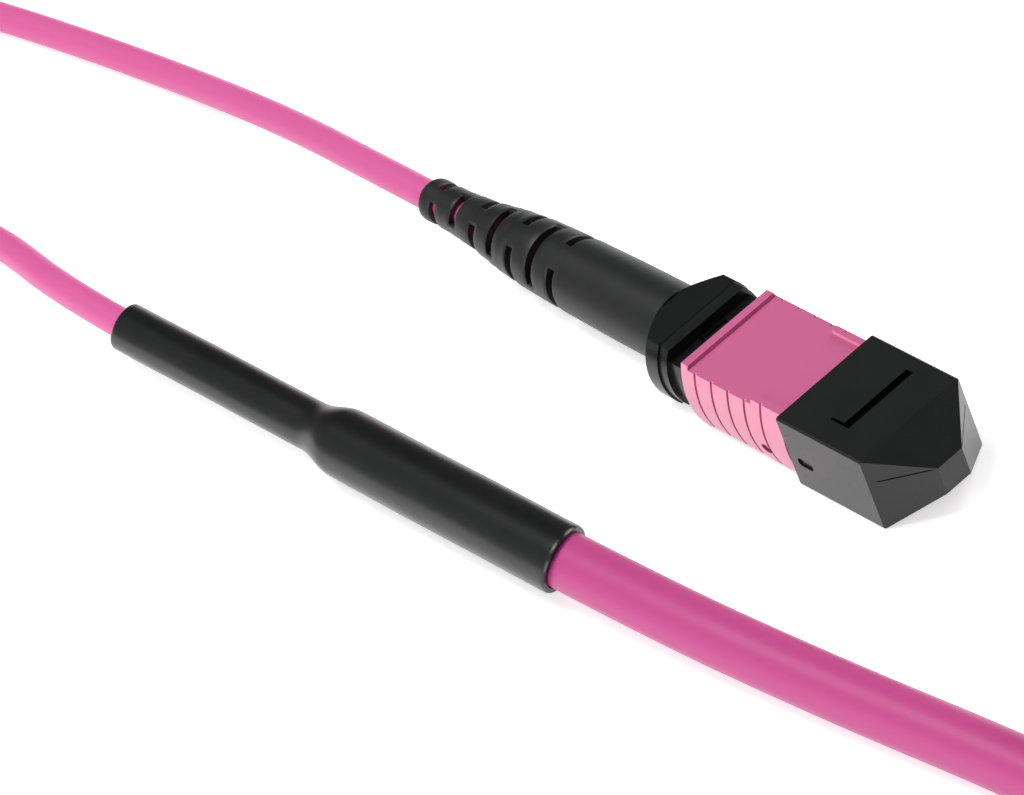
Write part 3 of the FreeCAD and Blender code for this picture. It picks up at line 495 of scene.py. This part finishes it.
def lay_floor(scene, settings):
    """A white paper sweep, which also glows as the camera sees it and as shiny parts mirror it."""
    h = FLOOR_HALF
    mesh = bpy.data.meshes.new("floor")
    mesh.from_pydata([(-h, -h, 0), (h, -h, 0), (h, h, 0), (-h, h, 0)], [], [(0, 1, 2, 3)])
    floor = bpy.data.objects.new("floor", mesh)
    scene.collection.objects.link(floor)
    paper = bpy.data.materials.new("white paper sweep")
    paper.use_nodes = True
    tree = paper.node_tree
    tree.nodes.clear()
    ray = add(tree, "ShaderNodeLightPath")
    mirrored = add(tree, "ShaderNodeMath", {},
                   {0: (ray, "Is Glossy Ray"), 1: (ray, "Is Transmission Ray")},
                   operation="MAXIMUM")
    seen = add(tree, "ShaderNodeMath", {1: settings.glow}, {0: (ray, "Is Camera Ray")},
               operation="MULTIPLY")
    mirrored = add(tree, "ShaderNodeMath", {1: settings.mirror_glow}, {0: (mirrored, "Value")},
                   operation="MULTIPLY")
    lift = add(tree, "ShaderNodeMath", {}, {0: (seen, "Value"), 1: (mirrored, "Value")},
               operation="MAXIMUM")
    matt = add(tree, "ShaderNodeBsdfDiffuse", {"Color": tuple(settings.floor_colour) + (1.0,)})
    glow = add(tree, "ShaderNodeEmission", {}, {"Strength": (lift, "Value")})
    both = add(tree, "ShaderNodeAddShader", {}, {0: (matt, "BSDF"), 1: (glow, "Emission")})
    add(tree, "ShaderNodeOutputMaterial", {}, {"Surface": (both, "Shader")})
    mesh.materials.append(paper)


def set_world(scene):
    """Soft light all round, stronger from the near side, and white where the camera sees it."""
    world = bpy.data.worlds.new("studio")
    world.use_nodes = True
    tree = world.node_tree
    tree.nodes.clear()
    place = add(tree, "ShaderNodeTexCoord")
    split = add(tree, "ShaderNodeSeparateXYZ", {}, {"Vector": (place, "Generated")})
    side = add(tree, "ShaderNodeMapRange",
               {"From Min": -0.7, "From Max": 0.25, "To Min": 0.48, "To Max": 0.096},
               {"Value": (split, "Y")})
    ray = add(tree, "ShaderNodeLightPath")
    seen = add(tree, "ShaderNodeMath", {}, {0: (side, "Result"), 1: (ray, "Is Camera Ray")},
               operation="MAXIMUM")
    sky = add(tree, "ShaderNodeBackground", {"Color": (1, 1, 1, 1)}, {"Strength": (seen, "Value")})
    add(tree, "ShaderNodeOutputWorld", {}, {"Surface": (sky, "Background")})
    scene.world = world


def set_lamps(scene, settings):
    """The square soft boxes."""
    for name, place, size, power in LAMPS:
        data = bpy.data.lights.new(name, "AREA")
        data.size = size
        data.energy = getattr(settings, power)
        lamp = bpy.data.objects.new(name, data)
        lamp.location = place
        lamp.rotation_mode = "QUATERNION"
        lamp.rotation_quaternion = Vector(place).to_track_quat("Z", "Y")
        scene.collection.objects.link(lamp)


# ---- boot


TIP_RADIUS = 0.00215
TIP_ROUND, TIP_DROP = 0.0004, 0.00018   # how far the tip's edge is rounded, along and inwards
# How much of the way from the tip's radius to the root's the skin has swollen, at places along it
SWELL_PLACES = (0, 0.0036, 0.0080, 0.0123, 0.0154, 0.0200, 0.0300, BOOT_HIGH.x - BOOT_LOW.x)
SWELL = (0, 0.0, 0.20, 0.58, 0.76, 0.88, 1, 1)
# The bore steps up from the leg to the crimp's tail and again to the crimp
BORES = (0.00165, 0.00212, 0.00345)
BORE_STEPS = (0.0220, 0.0266)
# The slots' spans and middles in degrees; the odd rings' slots grow with each ring
EVEN_SPAN, EVEN_MIDDLE = 134.0, -111.0
ODD_SPAN, SPAN_GROWTH, ODD_MIDDLE = 78.0, 9.0, -31.0
LIP, LIP_DIP, LIP_OVERRUN = 0.00022, 0.00011, 3   # width, depth, and degrees past a slot's end
SAME = 1e-6                                       # places closer than this are one


def boot_lines(slot_x, half):
    """Places along the boot for its grid: even steps, but at a slot only its edges and its lips."""
    length = BOOT_HIGH.x - BOOT_LOW.x
    lines = np.concatenate([[0, 0.00006, 0.00018, 0.0004], slot_x - half, slot_x + half,
                            slot_x - half - LIP, slot_x + half + LIP,
                            np.arange(0.0008, length - 0.0002, 0.0009),
                            [length - 0.0003, length]])
    lines = np.unique(np.round(lines, 7))
    near_slot = np.abs(lines[:, None] - slot_x[None, :]).min(1)
    kept = np.abs(near_slot - half) < SAME
    kept |= near_slot > half + LIP - SAME
    return lines[kept]


def boot_angles(span, middle):
    """Angles round the boot for its grid: even steps and the slots' ends, none too close."""
    step, least = 3.0, 0.6
    ends = np.concatenate([middle - span / 2, middle + span / 2])
    angles = np.unique(np.round(np.concatenate([np.arange(0, 360, step), ends % 360,
                                                (ends + 180) % 360]), 4))
    return angles[np.concatenate([[True], np.diff(angles) > least])]


def boot_radii(lines):
    """Outer and inner radius along the boot, the outer one smoothed over seven lines."""
    root = (BOOT_HIGH.z - BOOT_LOW.z) / 2
    swell = np.interp(lines, SWELL_PLACES, SWELL)
    smooth = np.convolve(np.pad(swell, 3, "edge"), np.ones(7) / 7, "valid")
    outer = TIP_RADIUS + (root - TIP_RADIUS) * smooth
    outer = outer - TIP_DROP * np.clip(1 - lines / TIP_ROUND, 0, 1) ** 2
    inner = np.select([lines < BORE_STEPS[0], lines < BORE_STEPS[1]], BORES[:2], BORES[2])
    return outer, inner


def off_middle(angles, middle):
    """Degrees from each angle to the middle of the nearer of each ring's two slots."""
    return np.abs((angles[:, None] - middle[None, :] + 90) % 180 - 90)


def shell_faces(solid):
    """Quads of a slotted tube's skin and lining, and of the walls round every opening.

    solid tells for each cell, by line and angle, whether it is there.  The lining's points come
    after all of the skin's.
    """
    rows, columns = len(solid) + 1, solid.shape[1]
    skin = np.arange(rows * columns).reshape(rows, columns)
    lining = skin + rows * columns
    nxt, nxt_in = np.roll(skin, -1, 1), np.roll(lining, -1, 1)

    def quads(where, *corners):
        return np.stack([c[where] for c in corners], -1)

    empty = np.zeros((1, columns), bool)
    padded = np.vstack([empty, solid, empty])
    left = ~solid & np.roll(solid, 1, 1)
    right = solid & ~np.roll(solid, 1, 1)
    return np.concatenate([
        quads(solid, skin[:-1], skin[1:], nxt[1:], nxt[:-1]),
        quads(solid, lining[:-1], nxt_in[:-1], nxt_in[1:], lining[1:]),
        quads(padded[:-1] & ~padded[1:], skin, lining, nxt_in, nxt),
        quads(~padded[:-1] & padded[1:], skin, nxt, nxt_in, lining),
        quads(left, skin[:-1], skin[1:], lining[1:], lining[:-1]),
        quads(right, skin[:-1], lining[:-1], lining[1:], skin[1:]),
    ])


# ---- straps


# In millimetres: half the width of the coil's turns and the play over them, a strap's thickness,
# the radius of its inner corners, and its section as pairs of how far out and how far across
COIL_HALF, STRAP_PLAY = 5.5, 0.3
STRAP_WALL, STRAP_CORNER, STRAP_SIDES = 0.9, 2.2, 96
STRAP_SECTION = ((0.0, -2.8), (0.12, -3.0), (STRAP_WALL - 0.12, -3.0), (STRAP_WALL, -2.8),
                 (STRAP_WALL, 2.8), (STRAP_WALL - 0.12, 3.0), (0.12, 3.0), (0.0, 2.8))


def rounded_loop(reach_x, reach_z, radius, sides):
    """A rounded rectangle: a circle whose quarters are pushed out to the corners.

    The push is the sine or cosine times 40, at most 1, so it turns quickly but not at one point.
    """
    turn = np.linspace(0, 2 * math.pi, sides, endpoint=False)
    across, up = np.cos(turn), np.sin(turn)
    x = radius * across + np.sign(across) * np.minimum(np.abs(across) * 40, 1) * reach_x
    z = radius * up + np.sign(up) * np.minimum(np.abs(up) * 40, 1) * reach_z
    return x, z


# ---- operators


class CONNECTOR_OT_finishes(bpy.types.Operator):
    """Mixes the finishes of all pieces"""

    bl_idname = "connector.finishes"
    bl_label = "Finishes"

    def execute(self, context):
        FINISHES.update(outer_finishes(context.scene.finish_settings))
        FINISHES.update(inner_finishes())
        return {"FINISHED"}


class CONNECTOR_OT_stage(bpy.types.Operator):
    """Lays the floor and sets the soft light and the camera"""

    bl_idname = "connector.stage"
    bl_label = "Stage"

    def execute(self, context):
        settings = context.scene.stage_settings
        set_camera(context.scene, settings)
        lay_floor(context.scene, settings)
        set_world(context.scene)
        set_lamps(context.scene, settings)
        context.scene.view_settings.view_transform = "Standard"
        return {"FINISHED"}


class CONNECTOR_OT_leg(bpy.types.Operator):
    """Lays the thin fan-out leg from the boot round to the transition sleeve"""

    bl_idname = "connector.leg"
    bl_label = "Leg cable"

    def execute(self, context):
        settings = context.scene.cord_settings
        leg = cord_curve("leg", LEG_ROUTE, settings.leg_diameter)
        dress(leg, "leg")
        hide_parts("leg_cable")
        return {"FINISHED"}


class CONNECTOR_OT_trunk(bpy.types.Operator):
    """Lays the trunk from the transition sleeve into its tied coil"""

    bl_idname = "connector.trunk"
    bl_label = "Trunk cable"

    def execute(self, context):
        settings = context.scene.cord_settings
        points = TRUNK_LEAD + coil_points(settings.trunk_diameter / MM) + TRUNK_TAIL
        trunk = cord_curve("trunk", points, settings.trunk_diameter)
        dress(trunk, "jacket")
        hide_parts("trunk_cable", "trunk_coil", "trunk_tail")
        return {"FINISHED"}


class CONNECTOR_OT_shrink_sleeve(bpy.types.Operator):
    """Makes the heat-shrunk sleeve: thin over the leg, flared, thick over the trunk"""

    bl_idname = "connector.shrink_sleeve"
    bl_label = "Transition sleeve"

    def execute(self, context):
        s = context.scene.sleeve_settings
        end = SLEEVE_LENGTH * MM
        lip, lip_drop = 0.0004, 0.00012
        leg_bore, trunk_bore = 0.00156, 0.00281
        along = np.concatenate([np.linspace(0, lip, 4), np.linspace(0.001, end - 0.001, 120),
                                np.linspace(end - lip, end, 4)])
        flare = np.clip((along - s.flare_start) / s.flare_length, 0, 1)
        flare = flare * flare * (3 - 2 * flare)
        radius = s.thin_radius + (s.thick_radius - s.thin_radius) * flare
        edge = np.minimum(along, end - along)
        radius = radius - lip_drop * np.clip(1 - edge / lip, 0, 1) ** 2
        inner = np.clip((along - s.flare_start) / s.flare_length, 0, 1)
        inner = leg_bore + (trunk_bore - leg_bore) * inner

        def ripple(x, angle):
            """Slow waves along and round the tube, a few hundredths of a millimetre high."""
            wave = np.sin(x / 0.0047 + 2 * np.sin(angle)) * np.cos(2 * angle + x / 0.011)
            return 0.000025 * wave * np.clip((x / end) * (1 - x / end) * 12, 0, 1)

        sides = 64
        outside = turned_grid(along, radius, sides, ripple)
        inside = turned_grid(along[::-1], inner[::-1], sides)
        points = np.concatenate([outside, inside])
        # The cuts lean up and to the near side, and the lean fades out over cut_reach
        cut_reach, lean_up, lean_near = 0.008, 0.876, 0.483
        near_thin = np.clip(1 - points[:, 0] / cut_reach, 0, 1)
        near_thick = np.clip(1 - (end - points[:, 0]) / cut_reach, 0, 1)
        lean = points[:, 2] * lean_up - points[:, 1] * lean_near
        points[:, 0] += s.slant * lean * (near_thin + near_thick)
        points[:, 0] += s.thin_trim * near_thin - s.thick_trim * near_thick
        faces = grid_faces(2 * len(along), sides, wrap_rows=True)
        start = np.array(SLEEVE_LEFT) * MM
        points = placed_along(points, start, (math.cos(SLEEVE_TURN), math.sin(SLEEVE_TURN), 0))
        piece = mesh_piece("shrink_sleeve", points, faces, "plug", 50)
        dress(piece, "shrink")
        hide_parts("transition_sleeve")
        return {"FINISHED"}


class CONNECTOR_OT_end_seal(bpy.types.Operator):
    """Makes the domed shrink cap on the trunk's end"""

    bl_idname = "connector.end_seal"
    bl_label = "End cap"

    def execute(self, context):
        last, before = Vector(TRUNK_TAIL[-1]) * MM, Vector(TRUNK_TAIL[-2]) * MM
        direction = (last - before).normalized()
        grip, length, radius, bore = 0.008, 0.022, 0.0035, 0.00276
        sides = 48
        straight = np.linspace(0, length - radius, 24)
        dome = np.linspace(0, math.pi / 2 - 0.08, 14)[1:]
        along = np.concatenate([[grip, 0, 0], straight[1:],
                                length - radius + radius * np.sin(dome)])
        out = np.concatenate([[bore, bore, radius], np.full(23, radius), radius * np.cos(dome)])
        points = turned_grid(along, out, sides)
        faces = grid_faces(len(along), sides).tolist()
        # One more point closes the dome's tip, and one the bore's end, where the trunk stops
        tip = len(points)
        points = np.vstack([points, [length, 0, 0], [grip, 0, 0]])
        rim = np.arange(sides)
        ring = (len(along) - 1) * sides + rim
        faces += np.stack([ring, np.full(sides, tip), np.roll(ring, -1)], -1).tolist()
        faces += np.stack([rim, np.roll(rim, -1), np.full(sides, tip + 1)], -1).tolist()
        points = placed_along(points, last - direction * grip, direction)
        mesh = bpy.data.meshes.new("end_seal")
        mesh.from_pydata(points.tolist(), [], faces)
        mesh.polygons.foreach_set("use_smooth", np.ones(len(mesh.polygons), bool))
        piece = bpy.data.objects.new("end_seal", mesh)
        context.scene.collection.objects.link(piece)
        piece.modifiers.new("crisp edges", "EDGE_SPLIT").split_angle = math.radians(50)
        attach(piece, "plug")
        dress(piece, "shrink")
        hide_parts("trunk_end_cap")
        return {"FINISHED"}


class CONNECTOR_OT_straps(bpy.types.Operator):
    """Wraps the two woven straps round the coil"""

    bl_idname = "connector.straps"
    bl_label = "Coil straps"

    def execute(self, context):
        for name, node, angle in (("strap_front", "coil_tie_front", 60.0),
                                  ("strap_back", "coil_tie_back", 190.0)):
            wall, corner, sides = STRAP_WALL, STRAP_CORNER, STRAP_SIDES
            half, top = COIL_HALF + STRAP_PLAY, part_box(node)[1].z / MM - wall
            centre_z, half_z = (wall + top) / 2, (top - wall) / 2
            rings = []
            for grow, y in STRAP_SECTION:
                x, z = rounded_loop(half - corner, half_z - corner, corner + grow, sides)
                rings.append(np.stack([x + COIL_MIDDLE, np.full(sides, y), z + centre_z], -1))
            points = np.concatenate(rings) * MM
            a = math.radians(angle)
            turned = np.array([[math.cos(a), math.sin(a), 0], [-math.sin(a), math.cos(a), 0],
                               [0, 0, 1]])
            points = points @ turned + np.array([COIL_CENTRE[0] * MM, COIL_CENTRE[1] * MM, 0])
            faces = grid_faces(len(rings), sides, wrap_rows=True)
            piece = mesh_piece(name, points, faces, "plug", 50)
            dress(piece, "strap")
            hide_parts(node)
        return {"FINISHED"}


class CONNECTOR_OT_boot(bpy.types.Operator):
    """Makes the slotted boot: each ring has two slots, turned from the ring before"""

    bl_idname = "connector.boot"
    bl_label = "Strain relief boot"

    def execute(self, context):
        s = context.scene.boot_settings
        slot_x = s.first_slot + s.slot_pitch * np.arange(s.slots)
        odd = np.arange(s.slots) % 2
        span = np.where(odd, ODD_SPAN + SPAN_GROWTH * np.arange(s.slots), EVEN_SPAN)
        middle = np.where(odd, ODD_MIDDLE, EVEN_MIDDLE)
        half = s.slot_width / 2
        lines = boot_lines(slot_x, half)
        angles = boot_angles(span, middle)
        outer, inner = boot_radii(lines)

        # A cell between two lines and two angles is open where its middle lies in a slot
        mid_x = (lines[1:] + lines[:-1]) / 2
        last = np.arange(len(angles)) == len(angles) - 1
        mid_a = (angles + np.roll(angles, -1) + np.where(last, 360, 0)) / 2
        beside = off_middle(mid_a, middle) < span / 2
        solid = ~((np.abs(mid_x[:, None, None] - slot_x) < half) & beside[None]).any(-1)

        # The skin dips a little along the slots' edges, as if rounded
        at_edge = np.abs(np.abs(lines[:, None] - slot_x) - half) < SAME
        near_cut = off_middle(angles, middle) < span / 2 + LIP_OVERRUN
        lips = (at_edge[:, None, :] & near_cut[None]).any(-1)
        turn = np.radians(angles)
        shell = []
        for r in (outer[:, None] - LIP_DIP * lips, inner[:, None] + 0 * turn):
            shell.append(np.stack([lines[:, None] + BOOT_LOW.x + 0 * turn, r * np.sin(turn),
                                   r * np.cos(turn) + AXIS_HEIGHT], -1).reshape(-1, 3))
        used, faces = np.unique(shell_faces(solid), return_inverse=True)
        piece = mesh_piece("boot", np.concatenate(shell)[used], faces.reshape(-1, 4), "plug", 40)
        dress(piece, "boot")
        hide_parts("strain_relief_boot")
        return {"FINISHED"}


class CONNECTOR_OT_springs(bpy.types.Operator):
    """Copies the springs' solids as pieces of their own, in steel"""

    bl_idname = "connector.springs"
    bl_label = "Springs"

    def execute(self, context):
        # Each spring's node, its joint and how far that joint goes, in millimetres
        for node, joint, travel in (("coupling_spring_near", "sleeve_retract", 2.0),
                                    ("coupling_spring_far", "sleeve_retract", 2.0),
                                    ("main_spring", "ferrule_float", 0.8)):
            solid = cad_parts[node].data
            points = np.empty(len(solid.vertices) * 3)
            solid.vertices.foreach_get("co", points)
            corners = np.empty(len(solid.loops), int)
            solid.loops.foreach_get("vertex_index", corners)
            # Corners that share a place become one, so that the loose triangles join up
            points, place = np.unique(points.reshape(-1, 3).round(6), axis=0, return_inverse=True)
            piece = mesh_piece(node.replace("spring", "coil"), points,
                               place.ravel()[corners].reshape(-1, 3), "plug", 40)
            dress(piece, "steel")
            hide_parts(node)
            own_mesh(piece)
        return {"FINISHED"}


class CONNECTOR_OT_moulded_parts(bpy.types.Operator):
    """Finishes the connector's own solids and smooths their round faces"""

    bl_idname = "connector.moulded_parts"
    bl_label = "Moulded and metal parts"

    def execute(self, context):
        finishes = {
            "dust_cap": "cap", "coupling_sleeve": "coupling", "inner_housing": "housing",
            "rear_housing": "housing", "ferrule": "ferrule", "pin_clamp": "ferrule",
            "guide_pin_near": "steel", "guide_pin_far": "steel", "crimp_ring": "crimp",
            "ferrule_boot": "seal", "fibre_ribbon": "ribbon", "aramid_yarn": "yarn",
            "cable_jacket_end": "leg", "transition_former": "former",
        }
        for node, name in finishes.items():
            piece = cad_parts[node]
            piece.data.materials.clear()
            piece.data.materials.append(FINISHES[name])
            piece.data.polygons.foreach_set("use_smooth", np.ones(len(piece.data.polygons), bool))
            weld = piece.modifiers.new("joined faces", "WELD")
            weld.merge_threshold = 2e-6
            split = piece.modifiers.new("crisp edges", "EDGE_SPLIT")
            split.split_angle = math.radians(25)
        return {"FINISHED"}


class CONNECTOR_PT_panel(bpy.types.Panel):
    """Lists the pieces in the sidebar"""

    bl_label = "Connector and cables"
    bl_space_type = "VIEW_3D"
    bl_region_type = "UI"
    bl_category = "Connector"

    def draw(self, context):
        for settings in SETTINGS:
            box = self.layout.box()
            group = getattr(context.scene, settings)
            for prop in group.bl_rna.properties:
                if prop.identifier not in ("rna_type", "name"):
                    box.prop(group, prop.identifier)
        for operator in PIECES:
            self.layout.operator(operator.bl_idname)


SETTINGS = {
    "finish_settings": FINISH_PG_settings,
    "cord_settings": CORD_PG_settings,
    "sleeve_settings": SLEEVE_PG_settings,
    "boot_settings": BOOT_PG_settings,
    "stage_settings": STAGE_PG_settings,
}
PIECES = (CONNECTOR_OT_finishes, CONNECTOR_OT_stage, CONNECTOR_OT_shrink_sleeve,
          CONNECTOR_OT_end_seal, CONNECTOR_OT_straps, CONNECTOR_OT_leg, CONNECTOR_OT_trunk,
          CONNECTOR_OT_boot, CONNECTOR_OT_springs, CONNECTOR_OT_moulded_parts)


def register():
    for group in SETTINGS.values():
        bpy.utils.register_class(group)
    for name, group in SETTINGS.items():
        setattr(bpy.types.Scene, name, PointerProperty(type=group))
    for cls in PIECES + (CONNECTOR_PT_panel,):
        bpy.utils.register_class(cls)


def unregister():
    for cls in reversed(PIECES + (CONNECTOR_PT_panel,)):
        bpy.utils.unregister_class(cls)
    for name, group in SETTINGS.items():
        delattr(bpy.types.Scene, name)
        bpy.utils.unregister_class(group)


def main():
    """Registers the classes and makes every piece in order."""
    register()
    bpy.ops.connector.finishes()
    bpy.ops.connector.stage()
    bpy.ops.connector.shrink_sleeve()
    bpy.ops.connector.end_seal()
    bpy.ops.connector.straps()
    bpy.ops.connector.leg()
    bpy.ops.connector.trunk()
    bpy.ops.connector.boot()
    bpy.ops.connector.springs()
    bpy.ops.connector.moulded_parts()
    bpy.context.view_layer.update()


if __name__ == "__main__":
    main()
